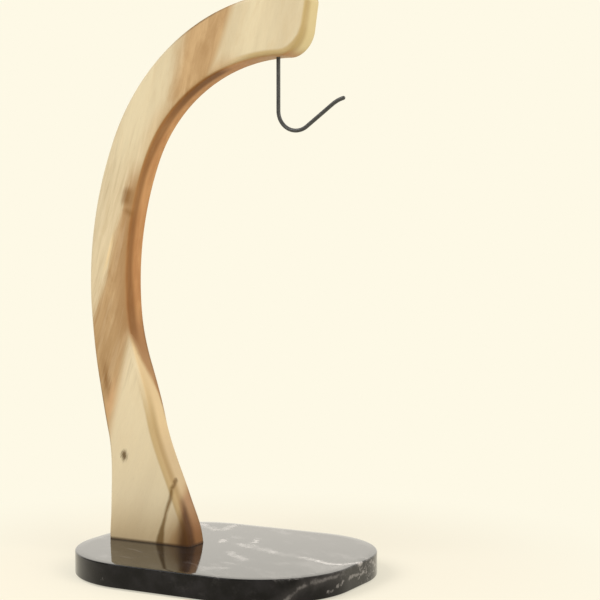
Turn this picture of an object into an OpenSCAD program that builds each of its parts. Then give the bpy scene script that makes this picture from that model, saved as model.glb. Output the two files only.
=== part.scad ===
// Banana hanger: a polished stone slab carries a curved wooden arm with a wire hook.
// Millimetres. +X runs towards the arm's tip, +Y away from the front, +Z up.
// The origin lies on the table, at the middle of the whole object's width and depth.

/* [Base] */
// Width of the slab, left to right
base_w = 180; // [160:1:240]
// Depth of the slab, front to back
base_d = 140; // [120:1:180]
// Thickness of the slab
base_t = 14; // [12:0.5:25]
// Radius of the slab's corners seen from above
base_corner_r = 57; // [30:1:59]
// Bevel polished along the slab's top and bottom edges
base_bevel = 0.8; // [0.3:0.1:2]

/* [Pads] */
// Diameter of each soft pad
pad_d = 16; // [8:1:24]
// Thickness of each soft pad
pad_t = 1; // [1:0.25:4]
// Stone left between a pad and the rim of the slab
pad_margin = 9; // [4:0.5:14]

/* [Arm path] */
// Distance from the slab's left edge to the middle of the arm's foot
foot_inset = 39.2; // [34:0.1:60]
// Direction in which the arm leaves the slab, in degrees above +X
foot_heading = 99.1; // [85:0.1:105]
// Radius of the gentle bend to the left above the foot
lean_r = 1040; // [500:1:2000]
// Turn of that bend, in degrees
lean_turn = 5.9; // [1:0.1:12]
// Radius of the bend to the right along the back
back_r = 217.5; // [180:0.5:260]
// Turn of the back, in degrees
back_turn = 37.3; // [25:0.1:50]
// Radius of the bend over the crown
crown_r = 114.4; // [90:0.1:140]
// Turn of the crown, in degrees
crown_turn = 76; // [60:0.1:85]

/* [Arm widths] */
// Thickness of the plank, front to back
arm_t = 18; // [12:0.5:24]
// Width of the plank at its foot
foot_w = 56.3; // [45:0.1:66]
// Width that a short flare adds right at the slab
flare_w = 3.3; // [0:0.1:4]
// Distance along the arm over which the flare runs out
flare_at = 24; // [12:1:40]
// Width at the ankle
ankle_w = 34.7; // [30:0.1:45]
// Width at the waist, the narrowest place
waist_w = 28; // [22:0.1:36]
// Width at the shoulder
shoulder_w = 27.8; // [22:0.1:40]
// Width at the tip
tip_w = 36.9; // [30:0.1:48]
// Distance along the arm from the slab to the ankle
ankle_at = 73; // [55:0.1:85]
// Distance along the arm from the slab to the waist
waist_at = 143.4; // [125:0.1:165]
// Distance along the arm from the slab to the shoulder
shoulder_at = 240.5; // [215:0.1:275]
// Radius of the corner under the tip
nose_r = 16; // [6:0.5:18]
// Radius of the corner on top of the tip
peak_r = 5; // [3:0.5:10]
// Radius sanded along the plank's four long edges
edge_r = 2.5; // [1:0.1:4]

/* [Hook] */
// Diameter of the hook's wire
wire_d = 2.4; // [2:0.1:4]
// Distance from the tip, back along the arm, to the hook
hook_back = 22; // [18:0.2:60]
// Depth of the hook's blind bore
hook_seat = 14; // [8:0.5:20]
// Straight wire between the arm and the bend
hook_drop = 31.5; // [15:0.5:60]
// Radius of the bend along the middle of the wire
bend_r = 12; // [8:0.5:20]
// Turn of the bend, in degrees
bend_turn = 126; // [95:1:150]
// Straight wire after the bend
hook_run = 21; // [10:0.5:40]
// Radius of the small turn at the end of the wire
lip_r = 20; // [8:0.5:40]
// Turn of the small turn, in degrees
lip_turn = 22; // [5:1:40]

/* [Screws] */
// Diameter of the screws that hold the arm
screw_d = 4; // [3:0.5:5]
// Length of each screw under its head
screw_len = 35; // [25:1:40]
// Diameter of the screw heads
head_d = 8; // [6:0.5:10]
// Height of the screw heads
head_h = 2.6; // [2:0.1:3.2]
// Diameter of the flat face on each head
head_face_d = 4.8; // [4.6:0.1:5.8]
// Height of the straight rim round each head
head_rim_h = 1.4; // [0.6:0.1:1.8]
// Length of each screw's tapered point
point_len = 8; // [5:0.5:12]
// Distance between the two screws
screw_gap = 30; // [16:1:34]
// Diameter of the washers
washer_d = 12; // [11:0.5:16]
// Thickness of the washers
washer_t = 1; // [0.5:0.1:1.5]
// Depth of the recess for head and washer
recess_depth = 6; // [5.5:0.5:7.5]
// Width across the cross slot of the screw heads
cross_w = 4.4; // [3:0.1:5]
// Width of each arm of the cross slot
cross_slot = 0.9; // [0.6:0.1:1.2]
// Depth of the cross slot
cross_depth = 1.6; // [1:0.1:1.8]

/* [Fits] */
// Room round the screws where they pass through stone and washer
screw_clear = 0.25; // [0.1:0.05:0.5]
// Room round the washers in their recesses
washer_clear = 0.5; // [0.2:0.1:1]
// Room round wire and screws in the wood
bore_clear = 0.05; // [0.02:0.01:0.1]
// Wood left free above the points of the screws
pilot_spare = 1.5; // [0.5:0.5:4]

/* [Hidden] */
$fn = 96;

// Smallest overlap of a cutter past the face that it opens
past = 1;
// Spacing of the stations along the arm
arm_step = 6.5;
// Segments in each sanded edge, and the sides and bend steps of the wire
edge_steps = 4;
wire_sides = 16;
wire_step = 9;

// Heights
base_z = pad_t;
foot_z = base_z + base_t;
recess_top = base_z + recess_depth;
head_seat = recess_top - washer_t;

// A path is a list of [length, turn to the right in degrees], walked from a pose [x, z, heading]
function arc(r, turn) = [r * abs(turn) * PI / 180, turn];
function total(path) = [for (part = path) part[0]] * [for (part = path) 1];
function right(h) = [sin(h), -cos(h)];
function spot(pose) = [pose[0], pose[1]];
function step(pose, part, s) =
    let (h = pose[2])
    part[1] == 0
        ? [pose[0] + s * cos(h), pose[1] + s * sin(h), h]
        : let (r = part[0] * 180 / (PI * part[1]))
          let (h2 = h - part[1] * s / part[0])
          let (p = spot(pose) + r * (right(h) - right(h2)))
          [p[0], p[1], h2];
function along(pose, path, s, k = 0) =
    k == len(path) - 1 || s <= path[k][0]
        ? step(pose, path[k], s)
        : along(step(pose, path[k], path[k][0]), path, s - path[k][0], k + 1);

// The arm's middle line leaves the slab at the foot and ends in the middle of the tip
foot_x = foot_inset - base_w / 2;
arm_start = [foot_x, foot_z, foot_heading];
arm_path = [arc(lean_r, -lean_turn), arc(back_r, back_turn), arc(crown_r, crown_turn)];
arm_len = total(arm_path);
function arm_pose(s) = along(arm_start, arm_path, s);

// The width eases from each stop to the next, and the flare adds to it just above the slab
width_stops = [
    [0, foot_w], [ankle_at, ankle_w], [waist_at, waist_w], [shoulder_at, shoulder_w], [arm_len, tip_w]
];
function ease(u) = let (v = min(1, max(0, u))) v * v * (3 - 2 * v);
function eased_width(s, k = 0) =
    let (a = width_stops[k], b = width_stops[k + 1])
    k == len(width_stops) - 2 || s <= b[0]
        ? a[1] + (b[1] - a[1]) * ease((s - a[0]) / (b[0] - a[0]))
        : eased_width(s, k + 1);
function width_at(s) = eased_width(s) + flare_w * (1 - ease(s / flare_at));

// A point on one long edge: side is -1 for the outer and 1 for the inner one, rounded off at the tip
function edge_point(s, side, corner_r) =
    let (into = max(0, s - (arm_len - corner_r)))
    let (cut = corner_r - sqrt(max(0, corner_r * corner_r - into * into)))
    let (pose = arm_pose(s))
    spot(pose) + side * (width_at(s) / 2 - cut) * right(pose[2]);
// Each edge begins where it meets the slab, which is past or short of the middle line's own start
function edge_start(side) = side * width_at(0) / 2 / tan(foot_heading);
function edge_stations(side, corner_r) =
    let (first = edge_start(side), plain = arm_len - corner_r - first, n = ceil(arm_len / arm_step))
    concat(
        [for (i = [0:n - 1]) first + i * plain / n],
        [for (a = [0:15:90]) arm_len - corner_r * (1 - sin(a))]
    );
function edge(side, corner_r) = [
    for (s = edge_stations(side, corner_r))
        let (p = edge_point(s, side, corner_r))
        s > edge_start(side) ? p : [p[0], foot_z]
];
// Up the outer edge, over the tip and down the inner edge
function arm_outline() =
    let (outer = edge(-1, peak_r), inner = edge(1, nose_r))
    concat(outer, [for (i = [len(inner) - 1:-1:0]) inner[i]]);

// The outline drawn inwards by a distance, along each point's own normal; the foot stays level
function drawn_in(outline, d) =
    let (last = len(outline) - 1)
    [for (i = [0:last])
        let (t = outline[min(i + 1, last)] - outline[max(i - 1, 0)])
        i == 0 || i == last
            ? outline[i] + [d * norm(t) / t[1], 0]
            : outline[i] + d / norm(t) * [t[1], -t[0]]];

// The whole object's middle, which the frame stands on
arm_left = min([for (p = arm_outline()) p[0]]);
middle_x = (min(arm_left, -base_w / 2) + base_w / 2) / 2;

// The hook hangs from the plank's lower edge
hook_pose = arm_pose(arm_len - hook_back);
hook_mouth = spot(hook_pose) + width_at(arm_len - hook_back) / 2 * right(hook_pose[2]);
hook_x = hook_mouth[0];
hook_top = hook_mouth[1] + hook_seat;
hook_start = [hook_x, hook_top, -90];
hook_path = [[hook_seat + hook_drop, 0], arc(bend_r, -bend_turn), [hook_run, 0], arc(lip_r, lip_turn)];
hook_len = total(hook_path);

// Skins a closed solid over rings that have the same even number of points.
// Each end is a row of four-cornered faces from one half of its ring across to the other half.
module skin(rings) {
    n = len(rings[0]);
    last = (len(rings) - 1) * n;
    polyhedron(
        points = [for (ring = rings) each ring],
        faces = concat(
            [for (i = [0:n / 2 - 2]) [i, i + 1, n - 2 - i, n - 1 - i]],
            [for (k = [0:n:last - n], i = [0:n - 1], half = [0, 1])
                let (j = (i + 1) % n)
                half == 0 ? [k + i, k + n + i, k + n + j] : [k + i, k + n + j, k + j]],
            [for (i = [0:n / 2 - 2]) [last + n - 1 - i, last + n - 2 - i, last + i + 1, last + i]]
        )
    );
}

// Moves a sub-part from the slab's middle to the frame's
module framed() translate([-middle_x, 0, 0]) children();

// Puts one copy at each screw
module at_screws() for (side = [-1, 1]) translate([foot_x + side * screw_gap / 2, 0, 0]) children();

// Half of the slab's section, from its middle out to a rim at the given distance
function slab_half(reach) = [
    [0, 0], [reach - base_bevel, 0], [reach, base_bevel],
    [reach, base_t - base_bevel], [reach - base_bevel, base_t], [0, base_t]
];

// A bar of that section, as long as given, with a rim along both sides
module slab_bar(length, reach) {
    half = slab_half(reach);
    rotate([90, 0, 90]) translate([0, 0, -length / 2]) linear_extrude(length)
        polygon(concat([for (i = [1:4]) half[i]], [for (i = [4:-1:1]) [-half[i][0], half[i][1]]]));
}

module base() color([0.09, 0.09, 0.09]) difference() {
    translate([0, 0, base_z]) union() {
        slab_bar(base_w - 2 * base_corner_r, base_d / 2);
        rotate([0, 0, 90]) slab_bar(base_d - 2 * base_corner_r, base_w / 2);
        for (quarter = [0:3])
            translate([
                (quarter == 0 || quarter == 3 ? 1 : -1) * (base_w / 2 - base_corner_r),
                (quarter < 2 ? 1 : -1) * (base_d / 2 - base_corner_r),
                0
            ])
                rotate([0, 0, quarter * 90]) rotate_extrude(angle = 90) polygon(slab_half(base_corner_r));
    }
    at_screws() {
        translate([0, 0, base_z - past]) cylinder(h = recess_depth + past, d = washer_d + 2 * washer_clear);
        translate([0, 0, base_z]) cylinder(h = base_t + past, d = screw_d + 2 * screw_clear);
    }
}

module arm() color([0.80, 0.68, 0.49]) difference() {
    outline = arm_outline();
    // Each sanded edge goes through a quarter turn, front edge first
    skin([for (side = [-1, 1], i = [0:edge_steps])
        let (a = 90 / edge_steps * (side < 0 ? i : edge_steps - i))
        let (y = side * (arm_t / 2 - edge_r * (1 - sin(90 - a))))
        [for (p = drawn_in(outline, edge_r * (1 - cos(90 - a)))) [p[0], y, p[1]]]]);
    at_screws() translate([0, 0, foot_z - past])
        cylinder(h = head_seat + screw_len + pilot_spare - foot_z + past, d = screw_d + 2 * bore_clear);
    translate([hook_x, 0, hook_mouth[1] - wire_d]) cylinder(h = hook_seat + wire_d, d = wire_d + 2 * bore_clear);
}

module hook() color([0.16, 0.16, 0.17]) {
    bends = [for (part = hook_path) max(1, ceil(abs(part[1]) / wire_step))];
    starts = [for (k = [0:len(hook_path) - 1]) k == 0 ? 0 : total([for (i = [0:k - 1]) hook_path[i]])];
    stations = concat(
        [for (k = [0:len(hook_path) - 1], i = [0:bends[k] - 1]) [starts[k] + i * hook_path[k][0] / bends[k], 1]],
        [for (a = [0:22.5:67.5]) [hook_len + wire_d / 2 * sin(a), cos(a)]]
    );
    skin([for (st = stations)
        let (pose = along(hook_start, hook_path, st[0]), r = right(pose[2]))
        [for (i = [0:wire_sides - 1])
            let (a = i * 360 / wire_sides, reach = st[1] * wire_d / 2)
            [pose[0] + reach * cos(a) * r[0], reach * sin(a), pose[1] + reach * cos(a) * r[1]]]]);
}

module screw() difference() {
    rotate_extrude() polygon([
        [0, -head_h], [head_face_d / 2, -head_h], [head_d / 2, -head_rim_h], [head_d / 2, 0],
        [screw_d / 2, 0], [screw_d / 2, screw_len - point_len], [0, screw_len]
    ]);
    for (turn = [0, 90]) rotate([0, 0, turn]) translate([-cross_w / 2, -cross_slot / 2, -head_h - past])
        cube([cross_w, cross_slot, cross_depth + past]);
}

module screws() color([0.72, 0.72, 0.70]) at_screws() translate([0, 0, head_seat]) screw();

module washers() color([0.66, 0.67, 0.69]) at_screws() translate([0, 0, head_seat]) difference() {
    cylinder(h = washer_t, d = washer_d);
    translate([0, 0, -past]) cylinder(h = washer_t + 2 * past, d = screw_d + 2 * screw_clear);
}

// Soft pad under one corner: across and deep are 1 or -1
module pad(across, deep) color([0.13, 0.12, 0.12]) {
    out = (base_corner_r - pad_margin - pad_d / 2) * sqrt(0.5);
    translate([across * (base_w / 2 - base_corner_r + out), deep * (base_d / 2 - base_corner_r + out), 0])
        cylinder(h = pad_t, d = pad_d);
}

framed() base();
framed() arm();
framed() hook();
framed() screws();
framed() washers();
framed() pad(-1, -1);  // pad_1
framed() pad(1, -1);  // pad_2
framed() pad(1, 1);  // pad_3
framed() pad(-1, 1);  // pad_4
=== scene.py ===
"""Banana hanger: a polished slab of black marble, a band-sawn wooden arm and a wire hook."""

from math import cos, pi, radians, sin
from types import SimpleNamespace

import bmesh
import bpy
import numpy as np
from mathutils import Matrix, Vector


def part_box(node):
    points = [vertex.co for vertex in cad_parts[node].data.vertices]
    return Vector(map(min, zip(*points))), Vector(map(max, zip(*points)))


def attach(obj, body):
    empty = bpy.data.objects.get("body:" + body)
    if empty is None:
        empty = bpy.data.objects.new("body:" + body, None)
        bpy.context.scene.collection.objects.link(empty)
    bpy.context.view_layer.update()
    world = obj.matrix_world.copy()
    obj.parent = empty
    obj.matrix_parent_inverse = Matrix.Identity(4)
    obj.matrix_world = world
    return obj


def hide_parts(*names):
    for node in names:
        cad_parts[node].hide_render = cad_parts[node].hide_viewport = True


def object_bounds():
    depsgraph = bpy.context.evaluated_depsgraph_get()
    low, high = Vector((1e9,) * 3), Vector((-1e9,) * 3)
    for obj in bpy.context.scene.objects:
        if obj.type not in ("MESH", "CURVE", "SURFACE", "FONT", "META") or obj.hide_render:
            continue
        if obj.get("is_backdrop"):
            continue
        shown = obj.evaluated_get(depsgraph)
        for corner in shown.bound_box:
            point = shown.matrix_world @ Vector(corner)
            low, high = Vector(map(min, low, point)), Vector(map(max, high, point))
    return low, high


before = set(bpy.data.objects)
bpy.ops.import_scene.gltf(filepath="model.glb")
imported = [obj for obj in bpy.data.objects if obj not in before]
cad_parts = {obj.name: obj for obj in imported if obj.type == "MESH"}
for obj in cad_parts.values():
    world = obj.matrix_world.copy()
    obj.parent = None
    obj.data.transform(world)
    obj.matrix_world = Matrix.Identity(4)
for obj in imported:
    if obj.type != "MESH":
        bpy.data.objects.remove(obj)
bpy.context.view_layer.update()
mm = 0.001

# The camera stands to the right of the front, a little above the slab, and looks very slightly down.
# Its place, turn and lens were fitted to the outlines of the slab and of the arm.
camera_at = (480.5 * mm, -791.2 * mm, 211.3 * mm)
camera_down, camera_turn = radians(2.76), radians(28.34)
lens_mm = 91.45

camera = bpy.data.objects.new("camera", bpy.data.cameras.new("camera"))
bpy.context.collection.objects.link(camera)
camera.location = camera_at
camera.rotation_euler = (pi / 2 - camera_down, 0, camera_turn)
camera.data.lens = lens_mm
camera.data.sensor_width, camera.data.sensor_fit = 36, "HORIZONTAL"
camera.data.clip_start, camera.data.clip_end = 0.01, 50
bpy.context.scene.camera = camera

# The slab is one piece of black marble, sawn to a rounded rectangle and polished all over.
# Its arrises are eased by hand. Two recesses and two holes for the screws are drilled from below.
slab_low, slab_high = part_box("base")
slab_middle = (slab_low + slab_high) / 2
slab_corner = 57 * mm
foot_inset = 39.2 * mm
arris = 0.8 * mm
screw_gap = 30 * mm
recess_depth, recess_radius = 6 * mm, 6.5 * mm
hole_radius = 2.25 * mm
past = 1 * mm

# How white each vein on the top is, how many millimetres its edge feathers out, and its points
veins_on_top = [
    (0.62, 3.8, [(69, -5, 15), (73, -6, 15), (80, -9, 15), (87, -6, 15), (92, 3, 16.5)]),
    (0.26, 4.5, [(57, -2, 15), (68, -5, 15)]),
    (0.12, 9.0, [(66, -14, 15), (80, -20, 15), (88, -14, 15.5)]),
    (0.50, 4.2, [(-54, 58, 15), (-42, 51, 15), (-33, 45, 15), (-28, 48, 15), (-30, 62, 15)]),
    (0.22, 6.0, [(4, 14, 15), (18, 9, 15), (33, 4, 15)]),
    (0.10, 5.0, [(33, 4, 15), (48, -1, 15), (62, -4, 15)]),
    (0.30, 4.5, [(10, -9, 15), (18, -16, 15), (29, -22, 15)]),
    (0.50, 2.7, [(-9, 14, 15), (-13, 22, 15)]),
    (0.50, 2.7, [(9, 22, 15), (7, 29, 15)]),
    (0.14, 5.0, [(2, 62, 15), (14, 56, 15)]),
    (0.20, 4.0, [(22, -52, 15), (30, -46, 15)]),
    (0.16, 3.5, [(22, -35, 15), (29, -37, 15)]),
    (0.20, 3.5, [(7, 14, 15), (14, 10, 15)]),
    (0.10, 4.0, [(54, -19, 15), (58, -21, 15)]),
]
# On the wall: a thin vein, a line of chips at the right and a chip at the left, and a crushed patch
vein_on_wall = [(91, -22, 12.8), (86, -39, 11.6), (81, -47, 10.2), (76, -53, 6), (70, -58, 1)]
chips_at_right = [(92, 8, 8.5), (92, -8, 8.4), (91.5, -22, 6.8), (89, -31, 4.5)]
chip_at_left = [(-43, -70, 4.2), (-41, -70, 4.6)]
crushed_patch = [(92, 3, 9), (92, 27, 8)]
# The way that the stone was pressed, which its wisps follow
pressed = radians(-24)


def solid(name, *grids):
    """Joins grids of points, each (rows, columns, 3), into one closed piece.

    Every four neighbours in a grid make a face, points that coincide become one, and the
    faces are turned outwards. Faces that meet at less than 40 degrees are shaded as one."""
    faces, first = [], 0
    for grid in grids:
        rows, columns = grid.shape[:2]
        at = first + np.arange(rows * columns).reshape(rows, columns)
        faces.append(np.stack([at[:-1, :-1], at[1:, :-1], at[1:, 1:], at[:-1, 1:]], -1).reshape(-1, 4))
        first += rows * columns
    mesh = bpy.data.meshes.new(name)
    points = np.concatenate([grid.reshape(-1, 3) for grid in grids])
    mesh.from_pydata(points.tolist(), [], np.concatenate(faces).tolist())
    shape = bmesh.new()
    shape.from_mesh(mesh)
    bmesh.ops.remove_doubles(shape, verts=shape.verts, dist=2e-7)
    bmesh.ops.recalc_face_normals(shape, faces=shape.faces)
    shape.to_mesh(mesh)
    shape.free()
    smooth_shading(mesh)
    piece = bpy.data.objects.new(name, mesh)
    bpy.context.collection.objects.link(piece)
    return piece


def smooth_shading(mesh):
    """Shades a mesh smoothly, apart from its sharp edges."""
    mesh.shade_smooth()
    mesh.set_sharp_from_angle(angle=radians(40))


def turned(profile, at, steps=96):
    """A profile of (radius, height) turned about the upright line through the point at."""
    radius, height = np.array(profile, float).T[:, :, None]
    angle = np.linspace(0, 2 * pi, steps + 1)[None, :]
    angle[0, -1] = 0
    flat = np.ones_like(radius * angle)
    return np.stack([at[0] + radius * np.cos(angle), at[1] + radius * np.sin(angle), height * flat], -1)


def quarter(centre, radius, start, end, steps=6):
    """Points (across, up) on an arc about a centre, from one angle in degrees to another."""
    angle = np.radians(np.linspace(start, end, steps + 1))
    return np.stack([centre[0] + radius * np.cos(angle), centre[1] + radius * np.sin(angle)], -1)


def cut_out(piece, *cutters):
    """Cuts closed pieces out of another one and deletes them."""
    for cutter in cutters:
        cut = piece.modifiers.new("cut", "BOOLEAN")
        cut.operation, cut.solver, cut.object = "DIFFERENCE", "EXACT", cutter
    bpy.context.view_layer.update()
    seen = piece.evaluated_get(bpy.context.evaluated_depsgraph_get())
    mesh = bpy.data.meshes.new_from_object(seen)
    piece.modifiers.clear()
    piece.data = mesh
    smooth_shading(mesh)
    for cutter in cutters:
        bpy.data.objects.remove(cutter)


def slab_ring(inset, height, steps=24):
    """One level line round the slab: four quarter circles of the corner's radius less the inset."""
    half_x = (slab_high.x - slab_low.x) / 2 - slab_corner
    half_y = (slab_high.y - slab_low.y) / 2 - slab_corner
    quarters = [np.linspace(q * 90, q * 90 + 90, steps + 1) for q in range(4)]
    angle = np.radians(np.concatenate([*quarters, [0]]))
    counts = [steps + 1] * 4 + [1]
    side_x = np.repeat([1, -1, -1, 1, 1], counts)
    side_y = np.repeat([1, 1, -1, -1, 1], counts)
    reach = slab_corner - inset
    return np.stack([
        slab_middle.x + side_x * half_x + reach * np.cos(angle),
        slab_middle.y + side_y * half_y + reach * np.sin(angle),
        np.full(angle.shape, height),
    ], -1)


def slab_grid(steps=5):
    """The slab's skin: rings from the middle of the underside, round both arrises, to the top's middle."""
    turn = np.linspace(0, pi / 2, steps + 1)
    low = [slab_ring(arris * (1 - sin(a)), slab_low.z + arris * (1 - cos(a))) for a in turn]
    high = [slab_ring(arris * (1 - cos(a)), slab_high.z - arris * (1 - sin(a))) for a in turn]
    centre_low = np.array([slab_middle.x, slab_middle.y, slab_low.z])
    centre_high = np.array([slab_middle.x, slab_middle.y, slab_high.z])
    inward = np.array([1, 0.75, 0.5, 0.3, 0.15, 0.06])[:, None, None]
    under = low[0] + inward * (centre_low - low[0])
    over = high[-1] + inward[::-1] * (centre_high - high[-1])
    return np.concatenate([under, low, high, over])


class Value:
    """One output of a material's nodes. Arithmetic on it adds Math nodes to the same material."""

    def __init__(self, socket):
        self.socket = socket

    def node(self, kind, settings, sockets, out=0):
        """Adds a node: first its settings, then the numbers, colours or links of its sockets."""
        tree = self.socket.id_data
        new = tree.nodes.new("ShaderNode" + kind)
        for key, setting in settings.items():
            setattr(new, key, setting)
        for key, given in sockets.items():
            if isinstance(given, Value):
                tree.links.new(given.socket, new.inputs[key])
            else:
                new.inputs[key].default_value = given
        return Value(new.outputs[out])

    def output(self, out):
        """Another output of the node that gives this value."""
        return Value(self.socket.node.outputs[out])

    def math(self, operation, *inputs):
        return self.node("Math", {"operation": operation}, dict(enumerate(inputs)))

    def vector(self, operation, *others, out=0):
        """Vector Math on this vector and others; out=1 is for an answer that is one number."""
        return self.node("VectorMath", {"operation": operation}, dict(enumerate((self, *others))), out)

    def __add__(self, other): return self.math("ADD", self, other)
    def __radd__(self, other): return self.math("ADD", other, self)
    def __sub__(self, other): return self.math("SUBTRACT", self, other)
    def __rsub__(self, other): return self.math("SUBTRACT", other, self)
    def __mul__(self, other): return self.math("MULTIPLY", self, other)
    def __abs__(self): return self.math("ABSOLUTE", self)
    def root(self): return self.math("SQRT", self)
    def larger(self, other): return self.math("MAXIMUM", self, other)
    def smaller(self, other): return self.math("MINIMUM", self, other)

    def rise(self, low, high):
        """0 where the value is at low and 1 where it is at high, eased between them."""
        sockets = {"Value": self, "From Min": low, "From Max": high}
        return self.node("MapRange", {"interpolation_type": "SMOOTHSTEP"}, sockets)

    def bump(self, middle, reach):
        """1 where the value is at the middle, easing to 0 at that reach on both sides."""
        return abs(self - middle).rise(reach, 0)

    def blend(self, first, second):
        """The first colour where this mask is 0 and the second where it is 1."""
        settings = {"data_type": "RGBA", "clamp_factor": True}
        return self.node("Mix", settings, {0: self, 6: first, 7: second}, out=2)

    def point(self, y, z):
        """The vector with this value as its first part."""
        return self.node("CombineXYZ", {}, {0: self, 1: y, 2: z})

    def noise(self, scale=1.0, detail=2.0, roughness=0.5, distortion=0.0, out=0):
        """Cloudy noise about 0.5, with this vector as its place; out=1 is for three noises at once."""
        sockets = {"Vector": self, "Scale": scale, "Detail": detail}
        sockets |= {"Roughness": roughness, "Distortion": distortion}
        return self.node("TexNoise", {}, sockets, out)


def paint(red, green, blue):
    """A colour given as it looks on a screen, 0 to 255, as the light that it stands for."""
    shown = [part / 255 for part in (red, green, blue)]
    return tuple(((s + 0.055) / 1.055) ** 2.4 if s > 0.04045 else s / 12.92 for s in shown) + (1,)


def coats(ground, *layers):
    """Colours laid over a ground one after another, each as (how much of it shows, the colour)."""
    for shows, colour in layers:
        ground = shows.blend(ground, colour)
    return ground


def new_finish(name, **settings):
    """A new material and its shader, with the place on the object in millimetres as three values."""
    material = bpy.data.materials.new(name)
    material.use_nodes = True
    shader = material.node_tree.nodes["Principled BSDF"]
    for socket, setting in settings.items():
        shader.inputs[socket.replace("_", " ")].default_value = setting
    place = Value(shader.outputs[0]).node("TexCoord", {}, {}, "Object")
    x = place.node("SeparateXYZ", {}, {0: place})
    y, z = x.output(1), x.output(2)
    return material, shader, x * 1000, y * 1000, z * 1000


def feed(shader, socket, value):
    """Links a value that changes over the surface to a socket of the shader."""
    shader.id_data.links.new(value.socket, shader.inputs[socket])


def relief(height, depth, strength=1.0):
    """A normal from a height between 0 and 1 that stands for a depth in metres."""
    return height.node("Bump", {}, {"Strength": strength, "Distance": depth, "Height": height})


def crooked_line(place, points, ragged=0.0):
    """How far the place is from a broken line through the points, all in millimetres.

    The nearest point of a stretch is its start and a share of it that is held between 0 and 1.
    Scale takes that share as it is. Multiply would need a converter for each stretch, and the
    renderer has no room for so many in one material."""
    nearest = None
    for a, b in zip(points, points[1:]):
        step = np.array(b, float) - np.array(a, float)
        from_a = place.vector("SUBTRACT", a)
        share = from_a.vector("DOT_PRODUCT", step / (step @ step), out=1)
        share = share.node("Clamp", {}, {0: share})
        beside = share.node("VectorMath", {"operation": "SCALE"}, {0: step, "Scale": share})
        off = from_a.vector("DISTANCE", beside, out=1)
        nearest = nearest.smaller(off) if nearest else off
    return nearest + ragged


def veins(even, crumbs, broken):
    """The white marks. They filled cracks that ran crookedly, so all are shifted by one wander."""
    wander = even.noise(0.11, 3.0, out=1).vector("SUBTRACT", (0.5, 0.5, 0.5))
    place = wander.vector("MULTIPLY_ADD", (9, 9, 5), even)
    white = 0
    for strength, feather, points in veins_on_top:
        line = crooked_line(place, points, crumbs * feather * 1.5)
        white = white + line.rise(feather, feather * 0.1) * strength
    side = crooked_line(place, vein_on_wall, crumbs * 2)
    chips = crooked_line(place, chips_at_right, crumbs * 2.6)
    chips = chips.smaller(crooked_line(place, chip_at_left, crumbs * 3.5)).rise(1.5, 0.2)
    white = white * (broken * 0.6 + 0.4)
    return white + (side.rise(1.9, 0) + side.rise(6, 0) * 0.22) * 0.13 + chips * 0.22


def wisps(x, y, z, even, broken):
    """Thin white wisps: noise drawn out along the way that the stone was pressed, mostly on the top."""
    run = x * cos(pressed) + y * sin(pressed)
    over = y * cos(pressed) - x * sin(pressed) + broken * 4
    feather = (run * 0.2).point(over, z * 0.8).noise(0.2, 5.0, 0.65, 0.3)
    here = feather.rise(0.52, 0.75) * even.noise(0.035, 2.0).rise(0.42, 0.6)
    return here * (z.rise(13.5, 14.8) * 0.2 + 0.02)


def marble():
    """Black marble, polished: broad feathery veins, thin grey ones, a speckled patch and a grey haze."""
    material, shader, x, y, z = new_finish("black_marble", IOR=1.6, Specular_Tint=(0.15, 0.15, 0.15, 1))
    even = x.point(y, z)
    crumbs = even.noise(0.85, 4.0, 0.65) - 0.5
    broken = even.noise(0.13, 3.0, 0.6).rise(0.32, 0.55)
    white = veins(even, crumbs, broken)
    crushed = crooked_line(even, crushed_patch, crumbs * 12).rise(9, 2)
    speckle = even.noise(0.34, 5.0, 0.75, 0.4).rise(0.5, 0.64) * crushed
    white = (white + speckle * 0.34 + wisps(x, y, z, even, broken)).smaller(1)
    haze = even.noise(0.07, 4.0, 0.6)
    ground = haze.rise(0.35, 0.75).blend(paint(22, 21, 20), paint(38, 36, 37))
    feed(shader, "Base Color", white.blend(ground, paint(226, 219, 216)))
    feed(shader, "Roughness", 0.05 + white * 0.12 + haze * 0.03)
    feed(shader, "Normal", relief(0 - white, 0.00003, 0.2))
    return material


slab = solid("slab", slab_grid())
foot_x = slab_low.x + foot_inset
screws_at = [(foot_x - screw_gap / 2, 0), (foot_x + screw_gap / 2, 0)]
recess_top = slab_low.z + recess_depth
recess_and_hole = [
    (0, slab_low.z - past), (recess_radius, slab_low.z - past), (recess_radius, recess_top),
    (hole_radius, recess_top), (hole_radius, slab_high.z + past), (0, slab_high.z + past),
]
for at in screws_at:
    cut_out(slab, solid("drill", turned(recess_and_hole, at)))
slab.data.materials.append(marble())
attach(slab, "root")
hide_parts("base")

# The arm is one plank of two-coloured wood, band-sawn to its curve, with sanded faces and edges
# and a satin oil finish. Two screws from below hold its foot, and a blind bore takes the hook.
arm_low, arm_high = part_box("arm")
plank = arm_high.y - arm_low.y
foot_turn = radians(99.1)
# The middle line's three arcs, each as (radius, turn to the right in degrees)
back_parts = [(1040 * mm, -5.9), (217.5 * mm, 37.3), (114.4 * mm, 76)]
nose, peak = 16 * mm, 5 * mm
edge = 2.5 * mm
pilot_radius, pilot_top = 2.05 * mm, 42.5 * mm
hook_back, hook_seat = 22 * mm, 14 * mm
wire_radius, bore_radius = 1.2 * mm, 1.225 * mm
# Where the small knot above the foot lies, as (x, z) in millimetres
knot_at = (-66.5, 68.5)


def rightward(heading):
    """The direction at a quarter turn to the right of each heading, as (x, z)."""
    return np.stack([np.sin(heading), -np.cos(heading)], -1)


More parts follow.
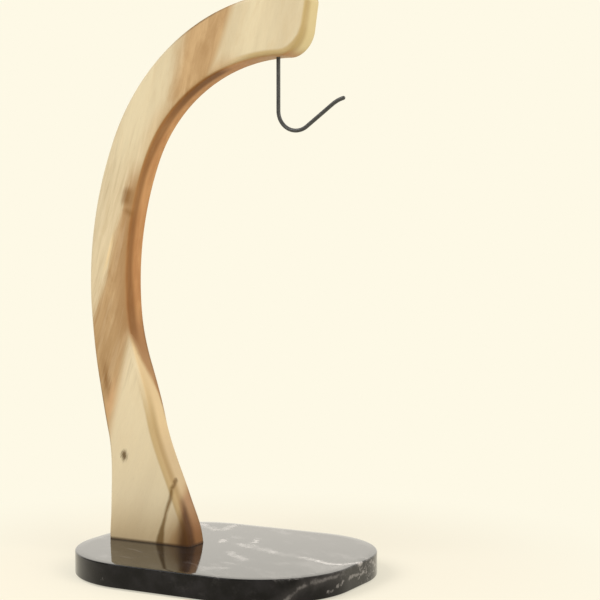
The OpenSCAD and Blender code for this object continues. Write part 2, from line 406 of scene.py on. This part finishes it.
def follow(start, heading, parts, distance):
    """Points (x, z) and headings at distances along a path of (length, turn to the right) parts.

    On a part of curvature k, the heading falls by k for each metre, and the point moves by
    the change of the rightward direction, divided by k. A straight part just runs ahead."""
    distance = np.asarray(distance, float)
    points, headings = np.empty(distance.shape + (2,)), np.empty(distance.shape)
    at, begin = np.array(start, float), 0.0

    def walked(length, k):
        turned_to = heading - k * length
        if k:
            return at + (rightward(heading) - rightward(turned_to)) / k, turned_to
        ahead = np.array([cos(heading), sin(heading)])
        return at + length[..., None] * ahead, turned_to

    for number, (length, turn) in enumerate(parts):
        here = (distance >= begin) | (number == 0)
        points[here], headings[here] = walked(distance[here] - begin, turn / length)
        end, heading_end = walked(np.array(length), turn / length)
        at, heading, begin = end, float(heading_end), begin + length
    return points, headings


def eased(distance, stops):
    """A size that eases from each (distance, size) stop to the next by 3 u^2 - 2 u^3."""
    place, size = np.array(stops).T
    k = np.clip(np.searchsorted(place, distance, side="right") - 1, 0, len(place) - 2)
    u = np.clip((distance - place[k]) / (place[k + 1] - place[k]), 0, 1)
    return size[k] + (size[k + 1] - size[k]) * u * u * (3 - 2 * u)


arm_parts = [(radius * radians(abs(turn)), radians(turn)) for radius, turn in back_parts]
arm_length = sum(length for length, turn in arm_parts)
width_stops = [(0, 56.3 * mm), (73 * mm, 34.7 * mm), (143.4 * mm, 28 * mm), (240.5 * mm, 27.8 * mm),
               (arm_length, 36.9 * mm)]
flare_stops = [(0, 3.3 * mm), (24 * mm, 0)]


def plank_width(distance):
    """The plank's width: the eased stops, and a short flare that adds to them just above the slab."""
    return eased(distance, width_stops) + eased(distance, flare_stops)


def long_edge(side, corner, stations=390, corner_steps=18):
    """One long edge of the plank from the foot to the tip: side is -1 for the outer, 1 for the inner one.

    It lies half a width beside the middle line. Near the tip it is drawn in by c - sqrt(c^2 - u^2),
    which rounds it off with the corner's radius c. At the foot it begins level with the slab."""
    first = side * plank_width(0) / 2 / np.tan(foot_turn)
    round_off = arm_length - corner * (1 - np.sin(np.linspace(0, pi / 2, corner_steps + 1)))
    at = np.concatenate([np.linspace(first, arm_length - corner, stations)[:-1], round_off])
    into = np.maximum(0, at - (arm_length - corner))
    reach = plank_width(at) / 2 - (corner - np.sqrt(np.maximum(0, corner ** 2 - into ** 2)))
    points, headings = follow((foot_x, arm_low.z), foot_turn, arm_parts, at)
    points = points + side * reach[:, None] * rightward(headings)
    points[0, 1] = arm_low.z
    return points


# Where the columns of the plank's broad faces stand, as shares of its width; close together at the edges
columns = np.concatenate([[0, 0.01, 0.04], np.linspace(0.1, 0.9, 12), [0.96, 0.99, 1]])


def plank_outline():
    """Up the outer edge, straight over the end of the tip and down the inner edge."""
    outer, inner = long_edge(-1, peak), long_edge(1, nose)
    end = outer[-1] + columns[1:-1, None] * (inner[-1] - outer[-1])
    return np.concatenate([outer, end, inner[::-1]]), len(outer)


def plank_grids():
    """The plank's skin: a band round its outline, rounded to both faces, the two faces and the foot."""
    outline, rows = plank_outline()
    along = np.gradient(outline, axis=0)
    along /= np.linalg.norm(along, axis=1)[:, None]
    inward = np.stack([along[:, 1], -along[:, 0]], -1)
    for foot in (0, -1):
        inward[foot] = [1 / along[foot, 1], 0]
    sanded = np.linspace(0, pi / 2, 8)
    inset = edge * np.concatenate([1 - np.sin(sanded), 1 - np.cos(sanded)])
    front, rear = edge * (1 - np.cos(sanded)) - plank / 2, plank / 2 - edge * (1 - np.sin(sanded))
    across = np.concatenate([front, rear])
    band = outline[None] + inset[:, None, None] * inward[None]
    band = np.stack([band[..., 0], np.repeat(across[:, None], len(outline), 1), band[..., 1]], -1)
    faces = []
    for ring in (band[0], band[-1]):
        left, right = ring[:rows], ring[::-1][:rows]
        faces.append(left[:, None] + columns[None, :, None] * (right - left)[:, None])
    foot = band[:, :1] + columns[None, :, None] * (band[:, -1:] - band[:, :1])
    return [band, *faces, foot]


def far_from(piece, line, name):
    """Stores how many millimetres each point of a piece lies from a line, both seen from the front."""
    place = np.array([point.co for point in piece.data.vertices])[:, None, ::2]
    step = line[1:] - line[:-1]
    share = np.clip(((place - line[:-1]) * step).sum(-1) / (step * step).sum(-1), 0, 1)
    far = np.linalg.norm(place - line[:-1] - share[..., None] * step, axis=-1).min(1) / mm
    piece.data.attributes.new(name, "FLOAT", "POINT").data.foreach_set("value", far.astype(np.float32))


def grown(x, y, z):
    """Where a place lies in the wood as it grew, and how the grain wavers there, all in millimetres.

    The grain leans 20 degrees at the foot and 14 at the crown: a layer is where x less the lean is
    constant. Each noise is drawn out along the grain, and ragged is what frays the layers' borders."""
    at = SimpleNamespace(x=x, y=y, z=z)
    height = z - 100
    knot_x, knot_z = x - knot_at[0], z - knot_at[1]
    at.from_knot = (knot_x * knot_x + knot_z * knot_z * 0.4).root()
    bent = x.point(y * 1.5, z * 0.16).noise(0.05, 3.0, 0.55) - 0.5
    lean = height * 0.364 - height * height * 0.000245
    at.layer = x - lean + bent * 5 + at.from_knot.rise(9, 0) * knot_x * -0.5
    along = x * 0.3 + z * 0.95

    def drawn_out(share, *noise):
        return at.layer.point(y, along * share).noise(*noise)

    at.broad = drawn_out(0.16, 0.07, 3.0, 0.55)
    at.streak = drawn_out(0.09, 0.3, 4.0, 0.6, 0.5)
    at.mottle = drawn_out(0.28, 0.14, 4.0, 0.6, 0.6)
    at.fine = drawn_out(0.09, 2.2, 4.0, 0.7, 0.3)
    at.fibre = drawn_out(0.05, 0.9, 3.0, 0.6) - 0.5
    at.strand = drawn_out(0.06, 0.42, 3.0, 0.6, 0.3) - 0.5
    at.pores = drawn_out(0.12, 1.9, 1.0).rise(0.7, 0.8)
    at.ragged = (at.streak - 0.5) * 7 + (at.mottle - 0.5) * 9 + (at.broad - 0.5) * 8

    # How deep a place is behind the front, and how far from the two long edges, seen from the front
    at.deep = y + plank / 2 / mm
    at.from_hollow = x.node("Attribute", {"attribute_name": "from_hollow"}, {}, out=2)
    at.from_back = x.node("Attribute", {"attribute_name": "from_back"}, {}, out=2)
    # The side that faces the hollow of the arch, and where a face cuts across the grain
    normal = x.node("NewGeometry", {}, {}, out=1)
    at.faces_in = normal.vector("DOT_PRODUCT", (0.87, 0, -0.5), out=1).rise(0.35, 0.75)
    at.grain_end = abs(normal.vector("DOT_PRODUCT", (0.26, 0, 0.966), out=1)).rise(0.4, 1.0)
    # The pale wedge above the foot has a straight left side, which runs deeper to the left
    at.wedge_side = x - height * 0.253 + 72.6 + at.ragged * 0.25 - at.deep * 1.4
    return at


def heartwood(at):
    """Where heartwood reaches the surface: a band up to the shoulder, another over the crown, the
    right part of the foot, the hollow side above it and the rim of the arch."""
    x, z, layer, deep, ragged = at.x, at.z, at.layer, at.deep, at.ragged
    low = (layer + ragged * 0.35 + at.fibre * 10).rise(-113, -104.5)
    low = low.larger(layer.rise(-132, -112) * 0.22) * at.wedge_side.rise(4, -4.5)
    low = low * (z + ragged * 1.2).rise(262, 232)
    top_edge = x - 12.3 + (339.4 - z) * 0.39
    crown = (top_edge + ragged * 0.25).rise(3.5, -3.5) * (layer + ragged * 0.4).rise(-97, -85)
    crown = crown * (z + ragged).rise(264, 296)
    rim = (at.from_hollow + ragged * 0.25).rise(12, 0) * z.rise(215, 300) * (x + ragged * 0.5).rise(22, 2)
    curve = ((145 - z).larger(0) * 5.2).root()
    inner = at.faces_in * (x + z * 0.5).rise(212, 200) * (deep - curve + ragged * 0.15).rise(-1.0, 1.0)
    foot = (x + 32 - (z - 16) * 0.12 + ragged * 0.25 + deep * 0.5).rise(0, 8)
    foot = foot * (z + ragged * 0.4 - deep * 0.6).rise(49, 36) * at.faces_in
    return (low * 0.9).larger(crown * 0.92).larger(foot).larger(inner).larger(rim * 0.7)


def sapwood_colour(at):
    """Pale sapwood, clouded and streaked, and warmer on the hollow side. It is paler lower down as painted
    light, where the lamps light it less, and darker and browner just above the slab, partly its own colour
    and partly painted shade from the slab. Behind the front lies a tan layer, which shows on the hollow
    side and on the tip's end."""
    x, z = at.x, at.z
    tip_end = x.rise(0, 30)
    tan = (at.from_hollow + z.rise(316, 330) * 2.6).rise(4.4, 2.4)
    tan = tan * (at.deep + at.ragged * 0.1).rise(9.0, 3.0) * z.rise(126, 84).larger(tip_end)
    return coats(
        at.broad.rise(0.3, 0.7).blend(paint(213, 198, 165), paint(200, 184, 152)),
        (at.mottle.rise(0.45, 0.75) * 0.3 + at.streak.rise(0.45, 0.8) * 0.12, paint(196, 171, 131)),
        # Painted light: paler lower down, where the lamps light the wood less
        (z.rise(200, 110) * 0.5, paint(227, 210, 176)),
        # Darker and browner just above the slab: partly its own colour, partly painted shade from the slab
        (z.rise(48, 12) * 0.55, paint(190, 160, 112)),
        (at.faces_in * 0.8, z.rise(160, 240).blend(paint(238, 208, 158), paint(209, 189, 137))),
        (tan * 0.85, tip_end.blend(paint(186, 157, 108), paint(176, 150, 100))),
    )


def heartwood_colour(at):
    """Brown heartwood in two tones, darker at the waist and near the hollow edge, redder on the
    hollow side, and lighter beside the pale wedge and at the shoulder."""
    z, faces_in = at.z, at.faces_in
    tone = (at.broad * 0.2 + at.streak * 0.25 + at.mottle * 0.55).rise(0.34, 0.66)
    near = (at.from_hollow + at.ragged * 0.3).rise(13, 0.5) * z.rise(134, 152)
    near = near * (z + at.ragged).rise(258, 232)
    return coats(
        tone.blend(paint(194, 159, 114), paint(166, 129, 84)),
        (z.bump(140, 36) * 0.4, paint(150, 112, 64)),
        (at.wedge_side.bump(-4, 6) * z.bump(102, 20) * 0.7, paint(208, 162, 116)),
        (near * 0.7, paint(148, 104, 56)),
        (faces_in * 0.85, tone.blend(paint(206, 152, 98), paint(180, 124, 74))),
        (z.bump(130, 38) * faces_in, paint(160, 116, 74)),
        (z.bump(232, 20) * faces_in * 0.2, paint(228, 182, 128)),
        (z.rise(52, 40) * faces_in, paint(162, 106, 78)),
    )


def dark_layer(at):
    """The darkest layer, just behind the front, which the hollow side cuts through above the waist."""
    z, deep = at.z, at.deep
    narrowed = z.rise(161, 189) * z.rise(264, 240) * 2.3
    dark = (deep + at.ragged * 0.3 + narrowed).rise(11.5, 6.5) * at.faces_in * z.rise(134, 150)
    dark = dark * (at.x + at.ragged * 0.3).rise(12, 0)
    return dark * (deep.rise(0, 3) * 0.3 + 0.7) * (z.rise(270, 296) * 0.3 + 0.68)


def dark_foot(at):
    """A dark wedge on the front of the foot's right part, which narrows upwards."""
    side = at.x + 27.4 - (at.z - 15.5) * 0.15 + at.deep * 0.75 + at.ragged * 0.15
    low = (at.z + at.ragged * 0.3).rise(50, 41)
    return side.rise(-3.5, 4.5) * low * (at.deep + at.ragged * 0.2).rise(10, 4)


def smudges(at, from_front):
    """Two smudges below the shoulder, and a long stain at the left edge beside the waist."""
    upper = crooked_line(from_front, [(-62.6, 0, 232), (-63.4, 0, 228)], at.ragged * 0.5)
    lower = crooked_line(from_front, [(-63.5, 0, 221), (-60, 0, 219)], at.ragged * 0.5) + 2
    frayed = at.ragged * 0.6 + at.fibre * 7
    stain = crooked_line(from_front, [(-81, 0, 127), (-79.8, 0, 115), (-78, 0, 102)], frayed)
    stain = stain.rise(5.5, 0) * at.z.bump(115, 19) * 1.3
    return (upper.smaller(lower).rise(6, 0) * 0.75).larger(stain * 0.6)


def painted_edge_shade(at):
    """Painted shade on the rounded edges: thin dark lines on the crown's back and behind the hollow side.
    """
    z = at.z
    back = at.from_back.rise(2.5, 0.6) * at.layer.bump(-81, 24).larger(z.bump(114, 20) * 0.7)
    rear = (at.deep + at.ragged * 0.1).rise(13.5, 16.5) * at.faces_in
    rear = rear * (z.rise(160, 145) * z.rise(86, 104)).larger(z.rise(52, 46))
    return (back * 0.85).larger(rear * 0.55)


def olive_line(at, from_front):
    """A dark olive line that curves down to the slab from a speck on the edge."""
    grainy = at.fine - 0.5
    line = crooked_line(from_front, [
        (-32.9, 7, 54), (-31, 0, 50), (-32.4, 0, 43), (-35.3, 0, 35.3), (-37.6, 0, 27), (-39.9, 0, 16.8),
        (-40.5, 0, 12),
    ], (at.mottle - 0.5) * 2.5)
    line = (line + grainy * 1.5 - at.z.rise(32, 13) * 1.4).rise(2.4, 0.2)
    speck = crooked_line(from_front, [(-33, 7, 54.2), (-32.3, 4, 53)], grainy * 3).rise(2.4, 0.6)
    return (line * 0.85).larger(speck * 0.85)


def wood():
    """Pale sapwood with brown heartwood, grown in layers that lean to the right, with a satin gloss."""
    material, shader, x, y, z = new_finish("two_coloured_wood", IOR=1.45, Specular_IOR_Level=0.28)
    at = grown(x, y, z)
    from_front = x.point(at.deep, z)
    heart = heartwood(at)
    # Dark and pale strands run along the grain of both faces, between the ankle and the crown
    faces = z.rise(95, 130) * z.rise(290, 250) * at.from_hollow.smaller(at.from_back).rise(1.2, 4)
    dark_strands = at.strand.rise(0.02, 0.16) * faces * (0.16 - heart * 0.04)
    pale_strands = at.strand.rise(-0.02, -0.16) * faces * (0.2 - heart * 0.13)
    pale_streak = (at.layer + at.ragged * 0.12).bump(-110, 2.2) * z.bump(195, 18)
    foot_strip = (at.layer + at.ragged * 0.3).rise(-11, 3) * z.rise(48, 18)
    knot = (at.from_knot + (at.fine - 0.5) * 5 + (at.mottle - 0.5) * 7).rise(3.8, 0.6)
    # The lowest edge of the foot, against the stone, is darkened as a painted contact shadow
    painted_contact_shadow = z.rise(16.8, 15.2)
    colour = coats(
        heart.blend(sapwood_colour(at), heartwood_colour(at)),
        (foot_strip * 0.7, paint(148, 106, 56)),
        (at.grain_end * 0.6, paint(160, 112, 68)),
        (pale_streak * 0.8, paint(228, 200, 152)),
        (dark_layer(at) * 0.95, paint(110, 66, 10)),
        (dark_foot(at) * 0.92, paint(84, 50, 16)),
        (smudges(at, from_front), paint(124, 84, 34)),
        # Painted shade: thin dark lines on the rounded edges
        (painted_edge_shade(at), paint(112, 84, 42)),
        (dark_strands, paint(122, 84, 48)),
        (pale_strands, paint(240, 222, 194)),
        (at.fine.rise(0.42, 0.72) * 0.06, paint(122, 88, 56)),
        (at.pores * 0.16, paint(110, 78, 48)),
        (olive_line(at, from_front), paint(112, 82, 34)),
        (knot * 0.9, paint(84, 58, 16)),
        # Painted contact shadow along the foot's lowest edge
        (painted_contact_shadow * 0.75, paint(66, 44, 26)),
    )
    feed(shader, "Base Color", colour)
    feed(shader, "Roughness", 0.46 + at.fine * 0.14 + heart * 0.04)
    feed(shader, "Normal", relief(at.fine * 0.5 + at.streak * 0.3 - at.pores * 0.7, 0.0001, 0.3))
    return material


arm = solid("arm_plank", *plank_grids())
hook_at, hook_heading = follow((foot_x, arm_low.z), foot_turn, arm_parts, arm_length - hook_back)
mouth = hook_at + plank_width(arm_length - hook_back) / 2 * rightward(hook_heading)
pilot_low, mouth_low, seat_top = arm_low.z - past, mouth[1] - 3 * past, mouth[1] + hook_seat
pilot_bore = [(0, pilot_low), (pilot_radius, pilot_low), (pilot_radius, pilot_top), (0, pilot_top)]
blind_bore = [(0, mouth_low), (bore_radius, mouth_low), (bore_radius, seat_top), (0, seat_top)]
bores = [(pilot_bore, screws_at[0]), (pilot_bore, screws_at[1]), (blind_bore, (mouth[0], 0))]
cut_out(arm, *[solid("drill", turned(bore, at, 48)) for bore, at in bores])
far_from(arm, np.concatenate([long_edge(1, nose)[::4], long_edge(-1, peak)[-1:]]), "from_hollow")
far_from(arm, long_edge(-1, peak)[::4], "from_back")
arm.data.materials.append(wood())
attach(arm, "root")
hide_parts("arm")

# The hook is a length of round steel wire, bent up in a smooth J with a small outward lip,
# its end rounded off, then coated dark grey. Its top is pressed into the bore under the tip.
hook_drop, hook_run = 31.5 * mm, 21 * mm
bend_radius, bend_turn = 12 * mm, radians(126)
lip_radius, lip_turn = 20 * mm, radians(22)
hook_parts = [(hook_seat + hook_drop, 0), (bend_radius * bend_turn, -bend_turn), (hook_run, 0),
              (lip_radius * lip_turn, lip_turn)]


def wire_grid(sides=32, stations=240):
    """A circle of the wire's radius carried down the hook's path; its far end closes as a half ball."""
    length = sum(part[0] for part in hook_parts)
    round_end = np.linspace(0, pi / 2, 9)
    plain = np.linspace(0, length, stations)[:-1]
    at = np.concatenate([[0], plain, length + wire_radius * np.sin(round_end)])
    radius = wire_radius * np.concatenate([[0], np.ones(stations - 1), np.cos(round_end)])
    points, headings = follow((mouth[0], mouth[1] + hook_seat), -pi / 2, hook_parts, at)
    turn = np.linspace(0, 2 * pi, sides + 1)[None]
    out = rightward(headings)[:, None] * (radius[:, None] * np.cos(turn))[..., None]
    x, z = points[:, None, 0] + out[..., 0], points[:, None, 1] + out[..., 1]
    return np.stack([x, radius[:, None] * np.sin(turn), z], -1)


def dark_wire():
    """A thin dark grey coating on drawn wire: even, with a faint orange peel and thin spots."""
    material, shader, x, y, z = new_finish("dark_coated_wire", Metallic=0.0, Specular_IOR_Level=0.6)
    place = x.point(y, z)
    cloud = place.noise(0.6, 3.0)
    speck = place.noise(3.5, 2.0).rise(0.62, 0.75)
    feed(shader, "Base Color", cloud.rise(0.3, 0.7).blend(paint(42, 42, 41), paint(58, 58, 56)))
    feed(shader, "Roughness", 0.34 + cloud * 0.1 + speck * 0.1)
    feed(shader, "Normal", relief(place.noise(1.6, 2.0) * 0.7 + speck * 0.3, 0.00003, 0.5))
    return material


hook = solid("wire_hook", wire_grid())
hook.data.materials.append(dark_wire())
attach(hook, "root")
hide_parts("hook")

# Two zinc-plated wood screws hold the arm from below. Each has a pan head with a cross recess,
# a plain neck where it passes the stone, a rolled thread and a drilling point.
screw_radius, screw_length = 2 * mm, 35 * mm
head_radius, head_height, head_face, head_rim = 4 * mm, 2.6 * mm, 2.4 * mm, 1.4 * mm
head_chamfer = 0.15 * mm
head_seat = 6 * mm
neck, neck_end, point_length = 9 * mm, 8.5 * mm, 8 * mm
pitch, root_share, ridge_share = 1.8 * mm, 0.68, 0.28
cross_width, cross_slot, cross_depth = 4.4 * mm, 0.9 * mm, 1.6 * mm


def screw_grid(at, turns=48, rows_per_pitch=10):
    """Head and shank turned about one line. The thread rises where (height / pitch - angle / 2 pi) % 1 is
    near a half, fades in above the neck and tapers to the point."""
    wide, tall = head_radius - head_face, head_height - head_rim
    head = [(0, -head_height), (head_face * 0.8, -head_height)]
    head += [(head_face + wide * sin(a), -head_rim - tall * cos(a)) for a in np.linspace(0.05, pi / 2, 8)]
    head += [(head_radius, -head_chamfer), (head_radius - head_chamfer, 0)]
    head += [(screw_radius, 0), (screw_radius, neck_end)]
    rows = int((screw_length - neck) / pitch * rows_per_pitch)
    height = np.linspace(neck, screw_length, rows)[:, None]
    angle = np.linspace(0, 2 * pi, turns + 1)[None]
    phase = (height / pitch - angle / (2 * pi)) % 1
    ridge = np.clip(1 - np.abs(phase - 0.5) / ridge_share, 0, 1)
    fade = np.clip((height - neck) / pitch, 0, 1)
    taper = np.clip((screw_length - height) / point_length, 0, 1) ** 0.8
    root = screw_radius * (1 - (1 - root_share) * fade)
    radius = (root + (screw_radius - root) * ridge) * taper
    level = head_seat + height + 0 * angle
    shank = np.stack([at[0] + radius * np.cos(angle), at[1] + radius * np.sin(angle), level], -1)
    shank[:, -1] = shank[:, 0]
    top = turned([(r, head_seat + h) for r, h in head], at, turns)
    return np.concatenate([top, shank])


def block(at, size):
    """A box about a point, as a grid of four corners round and two points at its ends."""
    x, y, z = (s / 2 for s in size)
    ring = [(-x, -y), (x, -y), (x, y), (-x, y), (-x, -y)]
    levels = [[(at[0], at[1], at[2] - z)] * 5] + [
        [(at[0] + p[0], at[1] + p[1], at[2] + level) for p in ring] for level in (-z, z)
    ] + [[(at[0], at[1], at[2] + z)] * 5]
    return np.array(levels)


def zinc():
    """Bright zinc plating: soft grey metal with faint spangle and blurred streaks."""
    material, shader, x, y, z = new_finish("zinc_plate", Metallic=1.0)
    place = x.point(y, z)
    spangle = place.noise(1.1, 3.0, 0.6)
    streaks = (x * 3).point(y * 3, z * 0.4).noise(1.2, 3.0)
    feed(shader, "Base Color", spangle.rise(0.3, 0.7).blend(paint(186, 187, 184), paint(208, 207, 200)))
    feed(shader, "Roughness", 0.26 + spangle * 0.12 + streaks * 0.1)
    feed(shader, "Normal", relief(streaks * 0.5 + place.noise(5.0, 2.0) * 0.5, 0.00003, 0.4))
    return material


def one_piece(name, parts):
    """Joins finished solids into one piece with one mesh."""
    shape = bmesh.new()
    for part in parts:
        shape.from_mesh(part.data)
        bpy.data.objects.remove(part)
    mesh = bpy.data.meshes.new(name)
    shape.to_mesh(mesh)
    shape.free()
    smooth_shading(mesh)
    piece = bpy.data.objects.new(name, mesh)
    bpy.context.collection.objects.link(piece)
    return piece


made = []
for at in screws_at:
    screw = solid("screw", screw_grid(at))
    slot_at = (at[0], at[1], head_seat - head_height + (cross_depth - past) / 2)
    cut_out(
        screw,
        solid("slot", block(slot_at, (cross_width, cross_slot, cross_depth + past))),
        solid("slot", block(slot_at, (cross_slot, cross_width, cross_depth + past))),
    )
    made.append(screw)
screws = one_piece("wood_screws", made)
zinc_plate = zinc()
screws.data.materials.append(zinc_plate)
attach(screws, "root")
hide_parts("screws")

# A flat washer lies between each screw head and the roof of its recess and spreads the head's load
# over the stone. It is stamped from sheet, which leaves its outer corners slightly rounded, and plated.
washer_radius, washer_hole, washer_thick, washer_round = 6 * mm, 2.25 * mm, 1 * mm, 0.2 * mm


def washer_grid(at):
    """A flat ring: its section is a rectangle with rounded corners, turned about the screw's line."""
    low, high = head_seat + washer_round, head_seat + washer_thick - washer_round
    inner, outer = washer_hole + washer_round, washer_radius - washer_round
    section = np.concatenate([
        quarter((outer, high), washer_round, 0, 90), quarter((inner, high), washer_round, 90, 180),
        quarter((inner, low), washer_round, 180, 270), quarter((outer, low), washer_round, 270, 360),
        [(outer + washer_round, high)],
    ])
    return turned(section, at)


washers = one_piece("flat_washers", [solid("washer", washer_grid(at)) for at in screws_at])
washers.data.materials.append(zinc_plate)
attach(washers, "root")
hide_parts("washers")

# Four round pads of soft black rubber keep the stone off the table. Each is punched from sheet
# and glued on under one corner of the slab.
pad_round = 0.3 * mm


def rubber():
    """Soft black rubber with a fine matt pebble and a little dust on it."""
    material, shader, x, y, z = new_finish("soft_rubber", Specular_IOR_Level=0.3)
    place = x.point(y, z)
    pebble = place.noise(2.4, 3.0, 0.6)
    dust = place.noise(0.5, 4.0).rise(0.45, 0.75)
    feed(shader, "Base Color", (dust * 0.5).blend(paint(34, 33, 33), paint(58, 56, 54)))
    feed(shader, "Roughness", 0.72 + pebble * 0.2)
    feed(shader, "Normal", relief(pebble, 0.0001, 0.5))
    return material


soft_rubber = rubber()
for number in range(1, 5):
    node = f"pad_{number}"
    low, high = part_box(node)
    centre = (low + high) / 2
    radius = (high.x - low.x) / 2
    glued_round = pad_round / 2
    profile = [
        (0, low.z), *quarter((radius - pad_round, low.z + pad_round), pad_round, 270, 360),
        *quarter((radius - glued_round, high.z - glued_round), glued_round, 0, 90), (0, high.z),
    ]
    pad = solid(f"rubber_{node}", turned(profile, (centre.x, centre.y), 64))
    pad.data.materials.append(soft_rubber)
    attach(pad, "root")
    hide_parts(node)

# The setting: a plain cream table that fades into a cream backdrop, soft light from the upper left
# and front, and a weaker light from the right.
cream, table_cream, mirrored_cream = paint(254, 249, 230), paint(250, 240, 220), paint(252, 247, 236)
table_size, near_share = 40, 0.55
fade_from, fade_to = 120, 300


def table_finish():
    """Matt cream near the hanger, where it takes its shadow, and backdrop-coloured light farther off."""
    material, shader, x, y, z = new_finish("table", Roughness=0.9, Specular_IOR_Level=0.0)
    shader.inputs["Base Color"].default_value = table_cream
    far = (x * x + y * y).root().rise(fade_from, fade_to) * (1 - near_share) + near_share
    matt = Value(shader.outputs[0])
    glow = matt.node("Emission", {}, {"Color": cream})
    both = far.node("MixShader", {}, {0: far, 1: matt, 2: glow})
    feed(material.node_tree.nodes["Material Output"], "Surface", both)
    return material


def table_grid():
    """A flat square."""
    side = np.array([-table_size / 2, table_size / 2])
    return np.stack([*np.meshgrid(side, side), np.zeros((2, 2))], -1)


table = solid("table", table_grid())
table.data.materials.append(table_finish())
table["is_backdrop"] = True


def lamp(name, place, aim, size, power, colour=(1, 1, 1)):
    """A square soft lamp, its size in metres and its power in watts, turned towards its aim."""
    data = bpy.data.lights.new(name, "AREA")
    data.shape, data.size, data.energy, data.color = "SQUARE", size, power, colour
    light = bpy.data.objects.new(name, data)
    bpy.context.collection.objects.link(light)
    light.location = place
    toward = np.array(aim) - np.array(place)
    flat = float(np.hypot(toward[0], toward[1]))
    turn = np.arctan2(toward[1], toward[0]) - pi / 2
    light.rotation_euler = (pi / 2 + np.arctan2(toward[2], flat), 0, turn)


hanger_middle = (0, 0, 0.15)
lamp("key", (-0.9, -1.3, 1.5), hanger_middle, 1.2, 24)
lamp("fill", (1.4, -0.5, 0.9), hanger_middle, 1.0, 13, (1, 0.95, 0.86))

world = bpy.data.worlds.new("backdrop")
bpy.context.scene.world = world
world.use_nodes = True
daylight = world.node_tree.nodes["Background"]
daylight.inputs["Color"].default_value, daylight.inputs["Strength"].default_value = (1, 0.99, 0.96, 1), 0.5
ambient = Value(daylight.outputs[0])
seen = ambient.node("LightPath", {}, {}, "Is Camera Ray")
mirrored = seen.output("Is Glossy Ray")
# Mirrored in the stone, the lit backdrop is brighter than white, and the room in front of it is dark
toward = ambient.node("TexCoord", {}, {}, "Generated")
bright = toward.node("SeparateXYZ", {}, {0: toward}, 1).rise(0, 0.3) * 1.3 + 0.3
shown = ambient.node("Background", {}, {
    "Color": mirrored.blend(cream, mirrored_cream), "Strength": 1 - mirrored * (1 - bright),
})
direct = seen.larger(mirrored).larger(seen.output("Is Transmission Ray"))
both = direct.node("MixShader", {}, {0: direct, 1: ambient, 2: shown})
feed(world.node_tree.nodes["World Output"], "Surface", both)

bpy.context.scene.view_settings.view_transform = "Standard"

low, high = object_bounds()
